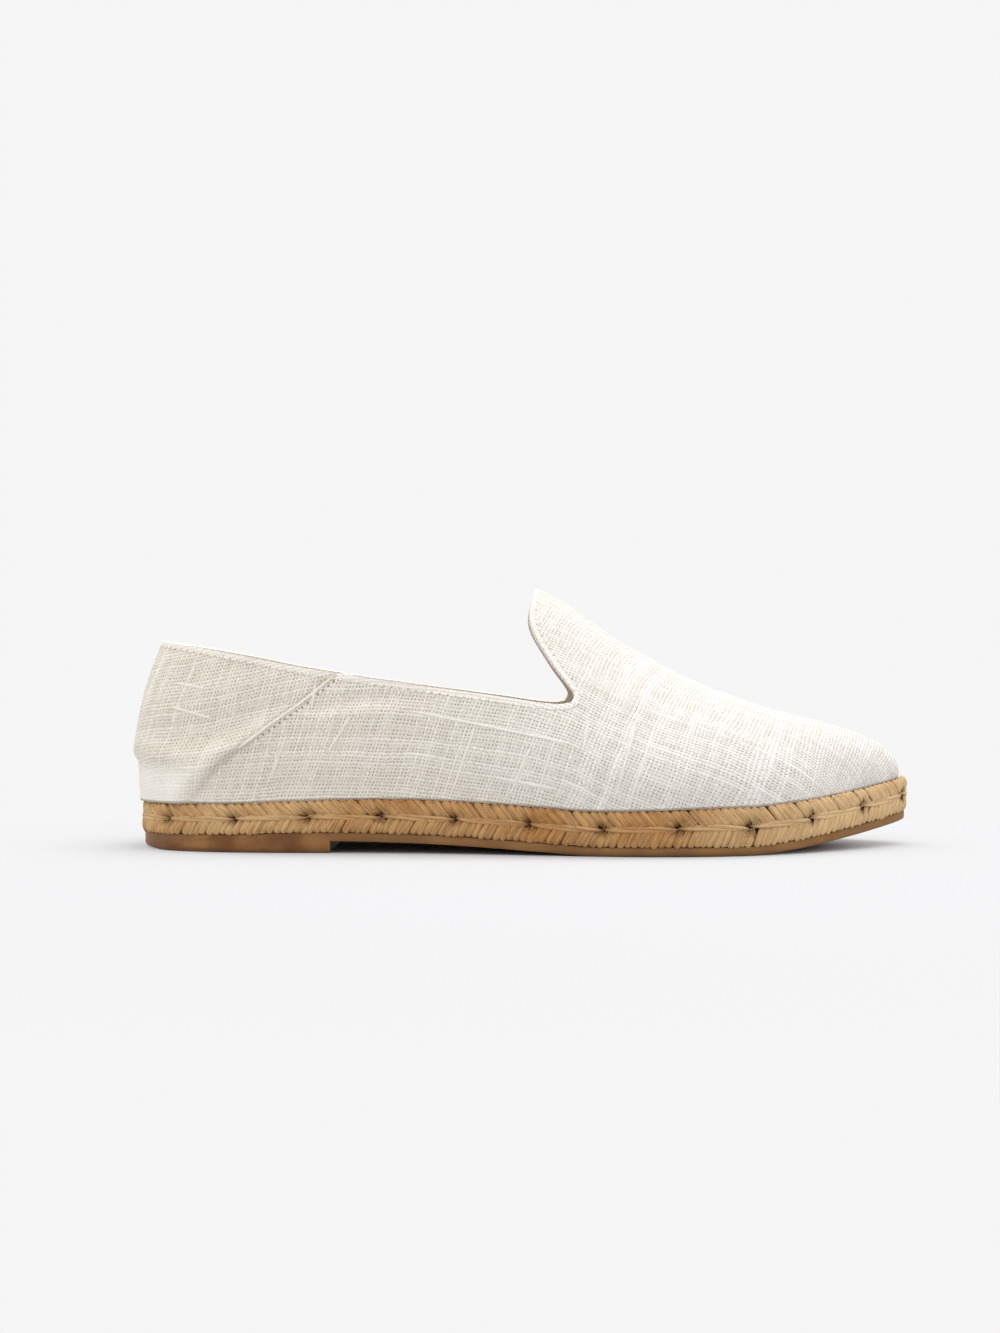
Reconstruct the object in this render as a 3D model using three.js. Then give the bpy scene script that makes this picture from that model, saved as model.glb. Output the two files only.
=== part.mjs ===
// A slip-on espadrille for the right foot: a slub-linen upper with a high-cut vamp and a low collar,
// on a stitched jute sole with a thin rubber outsole and a low moulded heel.
//
// Millimetres. The toe points along +X, +Z is up and the outer (lateral) side of the foot is -Y.
// Stations are measured from the back of the heel along X. The shoe is built from these stations and
// is then moved so that the origin is on the floor, under the middle of its bounding box.

import * as THREE from "three";
import { mergeVertices } from "three/addons/utils/BufferGeometryUtils.js";

// ---------------------------------------------------------------- driving dimensions

const SOLE_LENGTH = 261.5;
const TIP_Y = 6; // the toe's tip leans to the big-toe side

const OUTSOLE_THICKNESS = 3;
const JUTE_THICKNESS = 11.5;
const HEEL_BREAST = 66; // the moulded heel ends here
const HEEL_BACK_LIFT = 1.2; // the heel's back edge is worn off the floor by this much
const HEEL_BACK_ROUND = 12;

const UPPER_WALL = 1.8;
const INSOLE_THICKNESS = 2.5;
const SEAT_GAP = 0.3; // clearance between two pieces that meet
const INSOLE_GAP = 0.6;

const HEEL_PIVOT = 34; // the heel's sections fan round this station
const TOE_PIVOT = 224; // the toe's sections fan round this station
const FAN_BLEND = 22; // half the length over which sections turn from square to fanned

// Each table is [station, value].
const OUTLINE = {
  lateral: [[0, 0], [3, -12.8], [12, -23.4], [32, -30.3], [65, -32.5], [100, -35.5], [135, -42],
    [168, -47], [195, -45], [218, -35.5], [238, -21.5], [252, -8.5], [259.5, 0.2], [SOLE_LENGTH, TIP_Y]],
  medial: [[0, 0], [3, 12.6], [12, 22.6], [32, 28], [65, 26.5], [100, 26.5], [135, 34],
    [168, 41], [195, 41.5], [218, 37], [238, 28.5], [252, 18.8], [259.5, 11.6], [SOLE_LENGTH, TIP_Y]],
};
// Underside of the outsole ahead of the heel: arch, flat tread and toe spring.
const UNDERSIDE = along([[0, 2.6], [66, 2.8], [90, 2.7], [106, 2.4], [122, 1.7], [138, 0.8], [151, 0],
  [160, 0], [195, 0], [204, 0], [214, 1], [225, 2.5], [237, 4.4], [249, 6.5], [SOLE_LENGTH, 8.9]]);
// How far the upper's edge presses the top of the jute down.
const JUTE_DIP = along([[0, 1.7], [38, 1.4], [66, 0.4], [89, 0], [160, 0.3], [190, -0.6], [204, -0.8],
  [215, -0.6], [228, 0], [SOLE_LENGTH, 0.8]]);
// Upper: inset of its lower edge from the sole's outline.
const FEATHER_INSET = along([[0, -1], [30, 0.4], [90, 1.2], [165, 0.4], [220, 1.6], [SOLE_LENGTH, 2.9]]);
// Upper: height of the ridge along the middle. Behind the throat it is the height that the side walls
// lean towards, above the collar.
const CROWN = along([[-5, 100], [60, 100], [90, 98], [110, 94], [125, 90.5], [134, 87.6], [140, 85],
  [146, 81.6], [153, 76.3], [160, 71.2], [170, 65], [180, 59.8], [190, 55.4], [200, 51.4], [210, 47.7],
  [220, 44.9], [230, 42.6], [245, 39.6], [SOLE_LENGTH, 36.6]]);
const CROWN_Y = along([[0, 0], [70, 0.5], [140, 1.5], [200, 2.5], [TOE_PIVOT, 3.5]]);
// Section shape: width = (1 - height^rise)^(1 / spread), as shares of half width and of ridge height,
// plus a belly, the share by which the wall swells outwards a quarter of the way up.
const SPREAD = along([[0, 2], [100, 2], [140, 1.75], [180, 1.9], [220, 2.3], [245, 2.5], [SOLE_LENGTH, 2.5]]);
const RISE = along([[0, 2], [20, 2.4], [60, 3], [100, 2.8], [140, 2.3], [180, 2.2], [220, 2.6],
  [245, 3], [SOLE_LENGTH, 3]]);
const BELLY = along([[0, 0.08], [20, 0.05], [60, 0.04], [140, 0.035], [180, 0.03], [220, 0.02],
  [245, 0.005], [SOLE_LENGTH, 0]]);
// Collar height at each station, from the back of the heel to the throat's corner.
const THROAT_CORNER = 144.6;
const COLLAR = along([[0, 69.7], [14, 68], [34, 64.8], [55, 60.8], [76, 57.4], [95, 54.7], [119, 51.5],
  [134, 49.4], [141, 48.8], [THROAT_CORNER, 49.4]]);
// The vamp's cut edge, as [station, height], from the throat's corner up to the middle of the instep.
const VAMP_EDGE = [[THROAT_CORNER, 49.4], [145.7, 51.8], [144.4, 54.6], [140.4, 60], [136.2, 66.5],
  [132.8, 72.4], [131.6, 77.4], [132.4, 82.8], [134, 87.6]];

// Mesh steps.
const SOLE_ROWS = 52;
const QUARTER_COLUMNS = 22;
const EDGE_COLUMNS = 16;
const RIDGE_COLUMNS = 18;
const WALL_ROWS = 12;
// The lower edge's stations below the throat's corner and below the middle of the instep. Columns lean
// back from there to the cut edge, and lean more as they rise.
const CORNER_FOOT = 160;
const INSTEP_FOOT = 204;
const COLUMN_LEAN = 1.4;

// ---------------------------------------------------------------- curves

// A smooth curve through [at, value] knots, with the slope at each knot taken from its neighbours.
function along(knots) {
  const last = knots.length - 1;
  const slope = (i) => {
    const [a, b] = [knots[Math.max(i - 1, 0)], knots[Math.min(i + 1, last)]];
    return (b[1] - a[1]) / (b[0] - a[0]);
  };
  return (at) => {
    const x = THREE.MathUtils.clamp(at, knots[0][0], knots[last][0]);
    let i = 0;
    while (i < last - 1 && knots[i + 1][0] < x) i += 1;
    const [x0, y0] = knots[i];
    const [x1, y1] = knots[i + 1];
    const run = x1 - x0;
    const t = (x - x0) / run;
    return y0 * (1 + 2 * t) * (1 - t) ** 2 + y1 * t * t * (3 - 2 * t)
      + run * (slope(i) * t * (1 - t) ** 2 - slope(i + 1) * t * t * (1 - t));
  };
}

// Stations are spaced by an angle from 0 at the heel to pi at the toe, which makes both ends round.
const stationAt = (angle) => (SOLE_LENGTH / 2) * (1 - Math.cos(angle));
const angleAt = (station) => Math.acos(THREE.MathUtils.clamp(1 - (2 * station) / SOLE_LENGTH, -1, 1));

const EDGE_Y = Object.fromEntries(Object.entries(OUTLINE).map(([side, knots]) => (
  [side, along(knots.map(([station, y]) => [angleAt(station), y]))]
)));

// A ramp that is 0 well below zero and equals its input well above, with a parabola between.
function softRamp(x, blend) {
  if (x <= -blend) return 0;
  return x >= blend ? x : (x + blend) ** 2 / (4 * blend);
}

// The point on the middle line that a section starts from, for its station on the outline.
function spineStation(station) {
  const fromHeel = HEEL_PIVOT + softRamp(station - HEEL_PIVOT, FAN_BLEND);
  return TOE_PIVOT - softRamp(TOE_PIVOT - fromHeel, FAN_BLEND);
}

// A point on the outline, moved inwards along its section. The point is [station, y].
function outlinePoint(side, angle, inset) {
  const station = stationAt(angle);
  const spine = new THREE.Vector2(spineStation(station), CROWN_Y(spineStation(station)));
  const edge = new THREE.Vector2(station, EDGE_Y[side](angle));
  const reach = edge.distanceTo(spine);
  return { spine, edge: edge.lerp(spine, inset / reach) };
}

const heelBack = (station) => HEEL_BACK_LIFT * (Math.max(0, 1 - station / HEEL_BACK_ROUND)) ** 2;
const underside = (station) => Math.max(0, UNDERSIDE(station));
const outsoleTop = (station) => underside(station) + OUTSOLE_THICKNESS;
const juteTop = (station) => outsoleTop(station) + JUTE_THICKNESS - JUTE_DIP(station);

// ---------------------------------------------------------------- solids from loops

// Triangles of a closed skin, from a list of quads whose corners are vectors. Corners that coincide
// leave a triangle, or nothing.
function skin(quads) {
  const places = [];
  const same = (a, b) => a.distanceToSquared(b) < 1e-6;
  const triangle = (a, b, c) => {
    if (!same(a, b) && !same(b, c) && !same(c, a)) places.push(...a, ...b, ...c);
  };
  for (const [a, b, c, d] of quads) {
    triangle(a, b, c);
    triangle(a, c, d);
  }
  const loose = new THREE.BufferGeometry();
  loose.setAttribute("position", new THREE.Float32BufferAttribute(places, 3));
  return mergeVertices(loose, 1e-3);
}

// A slab with closed loops for its side, lowest first. Each loop has a lateral and a medial run from
// heel to toe, with points opposite each other, so the top and bottom are ladders between the runs.
function slab(loops) {
  const quads = [];
  for (let k = 0; k < loops.length - 1; k += 1) {
    const [low, high] = [loops[k], loops[k + 1]];
    for (let i = 0; i < low.lateral.length - 1; i += 1) {
      quads.push([low.lateral[i], low.lateral[i + 1], high.lateral[i + 1], high.lateral[i]]);
      quads.push([low.medial[i + 1], low.medial[i], high.medial[i], high.medial[i + 1]]);
    }
  }
  const [bottom, top] = [loops[0], loops.at(-1)];
  for (let i = 0; i < bottom.lateral.length - 1; i += 1) {
    quads.push([bottom.lateral[i], bottom.medial[i], bottom.medial[i + 1], bottom.lateral[i + 1]]);
    quads.push([top.lateral[i], top.lateral[i + 1], top.medial[i + 1], top.medial[i]]);
  }
  return skin(quads);
}

// A loop round the sole, inset from the outline, at a height given by a function of the station.
function soleLoop(rows, inset, height) {
  const run = (side) => rows.map(({ angle, behindBreast }) => {
    const { edge } = outlinePoint(side, angle, inset(stationAt(angle)));
    return new THREE.Vector3(edge.x, edge.y, height(edge.x, behindBreast));
  });
  return { lateral: run("lateral"), medial: run("medial") };
}

const evenRows = Array.from({ length: SOLE_ROWS + 1 }, (_, i) => (
  { angle: (Math.PI * i) / SOLE_ROWS, behindBreast: false }
));

// ---------------------------------------------------------------- outsole

// One moulding: a thin sheet with a low heel, whose front face, the breast, is upright.
function outsoleGeometry() {
  const breast = angleAt(HEEL_BREAST);
  const heelRows = 16;
  const frontRows = SOLE_ROWS - heelRows;
  const rows = [
    ...Array.from({ length: heelRows + 1 }, (_, i) => ({ angle: (breast * i) / heelRows, behindBreast: true })),
    ...Array.from({ length: frontRows + 1 }, (_, i) => (
      { angle: breast + ((Math.PI - breast) * i) / frontRows, behindBreast: false }
    )),
  ];
  const foot = (station, behindBreast) => (behindBreast ? heelBack(station) : underside(station));
  const bevel = 0.7;
  return slab([
    soleLoop(rows, () => 1.6, foot),
    soleLoop(rows, () => 0.9, (station, behind) => foot(station, behind) + bevel),
    soleLoop(rows, () => 0.9, outsoleTop),
  ]);
}

// ---------------------------------------------------------------- jute sole

// A coiled braid: the side wall is the outer turn, rounded above and below its two rows of strands.
function juteGeometry() {
  const low = (station) => outsoleTop(station) + SEAT_GAP;
  const share = (part) => (station) => THREE.MathUtils.lerp(low(station), juteTop(station), part);
  const wall = [[1.5, 0], [0.4, 0.14], [0.1, 0.3], [0.6, 0.5], [0.1, 0.72], [0.5, 0.88], [1.8, 1]];
  return slab(wall.map(([inset, part]) => soleLoop(evenRows, () => inset, share(part))));
}

// ---------------------------------------------------------------- insole

function insoleGeometry() {
  const inset = (extra) => (station) => FEATHER_INSET(station) + UPPER_WALL + INSOLE_GAP + extra;
  const seat = (lift) => (station) => juteTop(station) + SEAT_GAP + lift;
  return slab([
    soleLoop(evenRows, inset(0), seat(0)),
    soleLoop(evenRows, inset(0), seat(INSOLE_THICKNESS * 0.6)),
    soleLoop(evenRows, inset(1.2), seat(INSOLE_THICKNESS)),
  ]);
}

// ---------------------------------------------------------------- upper

// A point on the outside of the upper. The angle gives the station on the lower edge, and rise runs
// from 0 at that edge to 1 at the ridge.
function upperPoint(side, angle, rise) {
  const station = stationAt(angle);
  const { spine, edge } = outlinePoint(side, angle, FEATHER_INSET(station));
  const height = Math.sin((rise * Math.PI) / 2);
  const belly = BELLY(station) * Math.sin(Math.PI * Math.sqrt(height)) ** 3;
  const width = (1 - height ** RISE(station)) ** (1 / SPREAD(station)) + belly;
  const plan = spine.lerp(edge, width);
  const foot = juteTop(edge.x) + SEAT_GAP;
  return new THREE.Vector3(plan.x, plan.y, foot + (CROWN(plan.x) - foot) * height);
}

// The rise at which a section is a given height above the floor.
function riseAt(angle, z) {
  const station = stationAt(angle);
  const foot = juteTop(station) + SEAT_GAP;
  return (2 / Math.PI) * Math.asin(Math.min(1, (z - foot) / (CROWN(station) - foot)));
}

// Columns of the half shell, from the back seam to the toe: each has its angle at the lower edge, and
// its angle and rise at the top, which is the collar, then the vamp's cut edge, then the ridge.
function upperColumns() {
  const corner = angleAt(THROAT_CORNER);
  const cut = new THREE.CatmullRomCurve3(VAMP_EDGE.map(([s, z]) => new THREE.Vector3(s, z, 0)));
  const foot = [angleAt(CORNER_FOOT), angleAt(INSTEP_FOOT)];
  const instep = angleAt(VAMP_EDGE.at(-1)[0]);
  const columns = [];
  for (let i = 0; i <= QUARTER_COLUMNS; i += 1) {
    const part = i / QUARTER_COLUMNS;
    const top = corner * part;
    const low = top + (foot[0] - corner) * part ** 3;
    columns.push({ low, top, rise: riseAt(top, COLLAR(stationAt(top))) });
  }
  for (let i = 1; i <= EDGE_COLUMNS; i += 1) {
    const part = i / EDGE_COLUMNS;
    const { x, y: z } = cut.getPointAt(part);
    const rise = part < 1 ? riseAt(angleAt(x), z) : 1;
    columns.push({ low: THREE.MathUtils.lerp(...foot, part), top: angleAt(x), rise });
  }
  for (let i = 1; i <= RIDGE_COLUMNS; i += 1) {
    const part = i / RIDGE_COLUMNS;
    columns.push({
      low: THREE.MathUtils.lerp(foot[1], Math.PI, part),
      top: THREE.MathUtils.lerp(instep, Math.PI, part),
      rise: 1,
    });
  }
  return columns;
}

// The whole shell as a grid of points, each row running from the lateral back seam round the toe to the
// medial back seam, and a matching grid for its inside.
function upperGeometry() {
  const columns = upperColumns();
  const point = (side, { low, top, rise }, part) => {
    const angle = THREE.MathUtils.lerp(low, top, part ** COLUMN_LEAN);
    return upperPoint(side, angle, rise * part);
  };
  const grid = Array.from({ length: WALL_ROWS + 1 }, (_, j) => {
    const part = j / WALL_ROWS;
    const lateral = columns.map((column) => point("lateral", column, part));
    const medial = columns.map((column) => point("medial", column, part));
    return [...lateral, ...medial.reverse().slice(1)];
  });
  const quadsOf = (rows) => rows.slice(1).flatMap((high, j) => high.slice(1).map((_, i) => (
    [rows[j][i], rows[j][i + 1], high[i + 1], high[i]]
  )));
  const outer = skin(quadsOf(grid));
  outer.computeVertexNormals();
  const normalOf = new Map();
  const key = (v) => [v.x, v.y, v.z].map((n) => Math.round(n * 200)).join();
  for (let i = 0; i < outer.attributes.position.count; i += 1) {
    const at = new THREE.Vector3().fromBufferAttribute(outer.attributes.position, i);
    normalOf.set(key(at), new THREE.Vector3().fromBufferAttribute(outer.attributes.normal, i));
  }
  const inside = grid.map((row, j) => row.map((v) => {
    const moved = v.clone().addScaledVector(normalOf.get(key(v)), -UPPER_WALL);
    if (j === 0) moved.z = juteTop(moved.x) + SEAT_GAP;
    return moved;
  }));
  const rim = (a, b) => a.slice(1).map((_, i) => [a[i], b[i], b[i + 1], a[i + 1]]);
  const collarEnd = QUARTER_COLUMNS + EDGE_COLUMNS;
  const collar = (rows) => [
    ...rows.at(-1).slice(0, collarEnd + 1),
    ...rows.at(-1).slice(-collarEnd - 1),
  ];
  return skin([
    ...quadsOf(grid),
    ...quadsOf(inside).map((quad) => quad.reverse()),
    ...rim(grid[0], inside[0]),
    ...rim(collar(inside), collar(grid)),
  ]);
}

// ---------------------------------------------------------------- the shoe

function piece(name, geometry, colour, roughness) {
  const material = new THREE.MeshStandardMaterial({ color: colour, roughness, metalness: 0 });
  const mesh = new THREE.Mesh(geometry, material);
  mesh.name = name;
  return mesh;
}

const espadrille = new THREE.Group();
espadrille.add(
  piece("outsole", outsoleGeometry(), 0x9b7145, 0.6),
  piece("jute_sole", juteGeometry(), 0xc9a06a, 0.9),
  piece("insole", insoleGeometry(), 0xd9c6a6, 0.8),
  piece("upper", upperGeometry(), 0xe6dfd0, 0.95),
);

const box = new THREE.Box3().setFromObject(espadrille);
espadrille.position.set(-(box.min.x + box.max.x) / 2, -(box.min.y + box.max.y) / 2, 0);

export default espadrille;
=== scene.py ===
import math
import random
from bisect import bisect_left
from itertools import accumulate

import bmesh
import bpy
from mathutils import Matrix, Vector, kdtree, noise
from mathutils.bvhtree import BVHTree


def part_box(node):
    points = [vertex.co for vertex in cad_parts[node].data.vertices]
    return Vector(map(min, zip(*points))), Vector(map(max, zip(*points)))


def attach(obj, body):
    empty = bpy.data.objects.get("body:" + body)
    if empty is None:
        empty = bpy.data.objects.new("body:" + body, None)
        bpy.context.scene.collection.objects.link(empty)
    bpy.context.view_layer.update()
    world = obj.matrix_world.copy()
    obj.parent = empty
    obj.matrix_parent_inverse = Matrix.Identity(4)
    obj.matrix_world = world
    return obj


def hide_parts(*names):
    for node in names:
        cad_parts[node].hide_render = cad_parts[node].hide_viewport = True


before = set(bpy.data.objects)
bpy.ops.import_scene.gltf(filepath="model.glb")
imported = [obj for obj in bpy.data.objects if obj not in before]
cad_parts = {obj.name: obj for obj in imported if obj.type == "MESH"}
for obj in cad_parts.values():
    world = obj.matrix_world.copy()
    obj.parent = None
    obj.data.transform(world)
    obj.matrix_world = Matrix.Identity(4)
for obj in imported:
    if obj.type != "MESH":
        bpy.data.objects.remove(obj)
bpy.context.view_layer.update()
scene = bpy.context.scene


# The studio: a white table that the shoe stands on, a bright room behind it, and three broad lights:
# above, low beside the heel, and in front. The camera looks level at the shoe's outer side.

CAMERA_PLACE = (-0.0076, -0.7, 0.0609)
CAMERA_LENS = 55.55
TABLE_BACK = 0.104
TABLE_BLEND = 0.004
WHITE = (0.92, 0.92, 0.92, 1)
TABLE_PAINT = (0.56, 0.56, 0.575, 1)
TABLE_GLOW = 0.4
GLOW_FROM, GLOW_TO = 0.15, 0.42
SHADE_SHAPE = (0.113, 0.056, 1)


def put(tree, kind, sockets=None, **settings):
    """Adds a shader node. sockets gives each named input a value or another node's output."""
    made = tree.nodes.new(kind)
    for name, value in settings.items():
        setattr(made, name, value)
    for key, value in (sockets or {}).items():
        if isinstance(value, bpy.types.NodeSocket):
            tree.links.new(value, made.inputs[key])
        else:
            made.inputs[key].default_value = value
    return made


def derive(kind, sockets, output=0, **settings):
    """One output of a node added to the tree that its inputs come from."""
    tree = next(v.id_data for v in sockets.values() if isinstance(v, bpy.types.NodeSocket))
    return put(tree, kind, sockets, **settings).outputs[output]


def calc(operation, *values):
    """The output of one Math node."""
    return derive("ShaderNodeMath", dict(enumerate(values)), operation=operation)


def times(first, second):
    return calc("MULTIPLY", first, second)


def plus(first, second):
    return calc("ADD", first, second)


def vector(operation, *values, output=0):
    """The output of one Vector Math node. A length is its output 1."""
    return derive("ShaderNodeVectorMath", dict(enumerate(values)), output, operation=operation)


def split(place):
    """The X, Y and Z of a vector."""
    return tuple(put(place.id_data, "ShaderNodeSeparateXYZ", {0: place}).outputs)


def ramp(value, low, high, out_low=0.0, out_high=1.0):
    """value from low to high becomes out_low to out_high, eased at both ends."""
    sockets = {0: value, 1: low, 2: high, 3: out_low, 4: out_high}
    return derive("ShaderNodeMapRange", sockets, interpolation_type="SMOOTHSTEP")


def coat(colour, *coats):
    """A colour under coats of (share, colour), or of (share, colour, blend mode)."""
    for share, over, *mode in coats:
        sockets = {0: share, 6: colour, 7: over}
        mode = mode[0] if mode else "MIX"
        colour = derive("ShaderNodeMix", sockets, 2, data_type="RGBA", blend_type=mode)
    return colour


def blank_material(name):
    """A new material and its empty tree."""
    material = bpy.data.materials.new(name)
    material.use_nodes = True
    material.node_tree.nodes.clear()
    return material, material.node_tree


def table_material():
    """Lit white near the shoe, so that it takes the shadow, and even white away from it."""
    material, tree = blank_material("table")
    place = put(tree, "ShaderNodeTexCoord").outputs["Object"]
    beyond = ramp(split(place)[1], TABLE_BACK - TABLE_BLEND, TABLE_BACK + TABLE_BLEND)
    away = vector("LENGTH", place, output=1)
    beneath = vector("LENGTH", vector("DIVIDE", place, SHADE_SHAPE), output=1)
    glow = times(ramp(away, GLOW_FROM, GLOW_TO, TABLE_GLOW, 1), ramp(beneath, 0.85, 1.15))
    lit = put(tree, "ShaderNodeBsdfDiffuse", {"Color": TABLE_PAINT}).outputs[0]
    even = put(tree, "ShaderNodeEmission", {"Color": WHITE}).outputs[0]
    mixed = put(tree, "ShaderNodeMixShader", {0: calc("MAXIMUM", glow, beyond), 1: lit, 2: even})
    put(tree, "ShaderNodeOutputMaterial", {"Surface": mixed.outputs[0]})
    return material


table_mesh = bmesh.new()
bmesh.ops.create_grid(table_mesh, x_segments=1, y_segments=1, size=40)
table = bpy.data.objects.new("table", bpy.data.meshes.new("table"))
table_mesh.to_mesh(table.data)
table_mesh.free()
table.data.materials.append(table_material())
scene.collection.objects.link(table)

scene.world = bpy.data.worlds.new("room")
scene.world.use_nodes = True
scene.world.node_tree.nodes["Background"].inputs["Color"].default_value = WHITE
scene.view_settings.view_transform = "Standard"


def softbox(name, place, aim, width, height, power):
    """A rectangular area light at a place, turned to a point."""
    lamp = bpy.data.lights.new(name, "AREA")
    lamp.shape = "RECTANGLE"
    lamp.size, lamp.size_y, lamp.energy = width, height, power
    made = bpy.data.objects.new(name, lamp)
    made.location = place
    made.rotation_euler = (Vector(aim) - Vector(place)).to_track_quat("-Z", "Y").to_euler()
    scene.collection.objects.link(made)


softbox("overhead", (0.14, 0.1, 1.1), (0, 0, 0.02), 1.1, 0.8, 10.3)
softbox("side", (-0.9, -0.1, 0.14), (-0.1, 0, 0.03), 0.5, 0.4, 1.1)
softbox("front", (0.1, -0.95, 0.95), (0, 0, 0.03), 0.9, 0.6, 1.8)

camera = bpy.data.objects.new("camera", bpy.data.cameras.new("camera"))
camera.data.lens = CAMERA_LENS
camera.data.sensor_width = 36
camera.location = CAMERA_PLACE
camera.rotation_euler = (math.pi / 2, 0, 0)
scene.collection.objects.link(camera)
scene.camera = camera


# The outsole: one thin rubber moulding with a low heel, cemented under the jute. Its underside has
# fine cross ribs with painted shade in their grooves, inside a plain border, and its edge is smooth, darker
# low down.

MM = 0.001
SOLE_LENGTH = 261.5
TIP_Y = 6
OUTSOLE_THICKNESS = 3
JUTE_THICKNESS = 11.5
HEEL_BREAST = 66
HEEL_BACK_LIFT = 1.2
HEEL_BACK_ROUND = 12
HEEL_PIVOT = 34
TOE_PIVOT = 224
FAN_BLEND = 22
LATERAL, MEDIAL = -1, 1
TOE_SHORT = 0.1
OUTER_SIDE = 46.9
MERGE = 0.004


def mix(low, high, part):
    return low + (high - low) * part


def span(places, at):
    """Which two neighbours of some rising numbers a value lies between: the lower one's index."""
    return min(max(bisect_left(places, at) - 1, 0), len(places) - 2)


def along(knots):
    """A smooth curve through (at, value) knots, its slope at each knot taken from the neighbours."""
    places = [at for at, value in knots]
    slopes = []
    for (a, low), (b, high) in zip(knots[:1] + knots, knots[1:] + knots[-1:]):
        slopes.append((high - low) / (b - a))

    def value(at):
        x = min(max(at, places[0]), places[-1])
        i = span(places, x)
        (x0, y0), (x1, y1) = knots[i], knots[i + 1]
        run = x1 - x0
        t = (x - x0) / run
        ends = y0 * (1 + 2 * t) * (1 - t) ** 2 + y1 * t * t * (3 - 2 * t)
        return ends + run * (slopes[i] * t * (1 - t) ** 2 - slopes[i + 1] * t * t * (1 - t))

    return value


def station_at(angle):
    """Stations along the shoe are spaced by an angle, 0 at the heel and pi at the toe."""
    return SOLE_LENGTH / 2 * (1 - math.cos(angle))


def angle_at(station):
    return math.acos(min(max(1 - 2 * station / SOLE_LENGTH, -1), 1))


def by_angle(knots):
    return along([(angle_at(station), y) for station, y in knots])


EDGE_Y = {
    LATERAL: by_angle([
        (0, 0), (3, -12.8), (12, -23.4), (32, -30.3), (65, -32.5), (100, -35.5), (135, -42),
        (168, -47), (195, -45), (218, -35.5), (238, -21.5), (252, -8.5), (259.5, 0.2), (SOLE_LENGTH, TIP_Y),
    ]),
    MEDIAL: by_angle([
        (0, 0), (3, 12.6), (12, 22.6), (32, 28), (65, 26.5), (100, 26.5), (135, 34),
        (168, 41), (195, 41.5), (218, 37), (238, 28.5), (252, 18.8), (259.5, 11.6), (SOLE_LENGTH, TIP_Y),
    ]),
}
UNDERSIDE = along([
    (0, 2.6), (38, 3.1), (66, 3.8), (90, 3.4), (106, 2.8), (122, 1.9), (138, 0.85), (151, 0), (195, 0),
    (204, 0), (214, 1), (225, 2.5), (237, 4.4), (249, 6.5), (SOLE_LENGTH, 8.9),
])
JUTE_DIP = along([
    (0, 1.7), (38, 1.8), (66, 1.4), (89, 0.7), (106, 0.47), (122, 0.34), (160, 0.3), (190, -0.6),
    (204, -0.8), (215, -0.6), (228, 0), (SOLE_LENGTH, 0.8),
])
CROWN_Y = along([(0, 0), (70, 0.5), (140, 1.5), (200, 2.5), (TOE_PIVOT, 3.5)])

# The CAD's own frame: where station 0 and the middle line lie, in metres.
HOME = Vector((
    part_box("jute_sole")[1].x - (SOLE_LENGTH - TOE_SHORT) * MM,
    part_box("jute_sole")[0].y + OUTER_SIDE * MM,
    0,
))


def soft_ramp(x, blend):
    """0 well below zero and x well above, with a parabola between."""
    if x <= -blend:
        return 0
    return x if x >= blend else (x + blend) ** 2 / (4 * blend)


def spine_station(station):
    """The station on the middle line that a section fans out from."""
    from_heel = HEEL_PIVOT + soft_ramp(station - HEEL_PIVOT, FAN_BLEND)
    return TOE_PIVOT - soft_ramp(TOE_PIVOT - from_heel, FAN_BLEND)


def outline_point(side, angle, inset):
    """(point on the middle line, point on the sole's outline moved inwards by inset)."""
    station = station_at(angle)
    middle = spine_station(station)
    spine = Vector((middle, CROWN_Y(middle)))
    edge = Vector((station, EDGE_Y[side](angle)))
    return spine, edge.lerp(spine, inset / (edge - spine).length)


def underside(station):
    return max(0.0, UNDERSIDE(station))


def heel_back(station):
    return HEEL_BACK_LIFT * max(0.0, 1 - station / HEEL_BACK_ROUND) ** 2


def outsole_top(station):
    return underside(station) + OUTSOLE_THICKNESS


def jute_top(station):
    return outsole_top(station) + JUTE_THICKNESS - JUTE_DIP(station)


def sole_layer(rows, columns, rings):
    """A closed layer with the sole's outline. rows lists (angle, is behind the breast), and each ring
    is (inset from the outline, height as a function of station and of being behind the breast)."""
    layer = bmesh.new()
    angle, behind, across = (layer.verts.layers.float.new(n) for n in ("angle", "behind", "across"))

    def settle(verts, ring):
        inset, height = ring
        for v in verts:
            depth = inset(station_at(v[angle])) if callable(inset) else inset
            lateral = outline_point(LATERAL, v[angle], depth)[1]
            medial = outline_point(MEDIAL, v[angle], depth)[1]
            plan = lateral.lerp(medial, v[across])
            v.co = (plan.x, plan.y, height(plan.x, v[behind] > 0.5))

    def ladder(ring):
        made = bmesh.ops.create_grid(layer, x_segments=len(rows) - 1, y_segments=columns, size=1)
        for v in made["verts"]:
            v[angle], v[behind] = rows[round((v.co.x + 1) / 2 * (len(rows) - 1))]
            v[across] = (v.co.y + 1) / 2
        settle(made["verts"], ring)
        bmesh.ops.remove_doubles(layer, verts=made["verts"], dist=MERGE)

    ladder(rings[0])
    edges = [e for e in layer.edges if e.is_boundary]
    for ring in rings[1:]:
        grown = bmesh.ops.extrude_edge_only(layer, edges=edges)["geom"]
        settle([g for g in grown if isinstance(g, bmesh.types.BMVert)], ring)
        edges = [g for g in grown if isinstance(g, bmesh.types.BMEdge)]
    ladder(rings[-1])
    bmesh.ops.remove_doubles(layer, verts=layer.verts, dist=MERGE)
    bmesh.ops.recalc_face_normals(layer, faces=layer.faces)
    return layer


def even_rows(count):
    return [(math.pi * i / count, False) for i in range(count + 1)]


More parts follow.
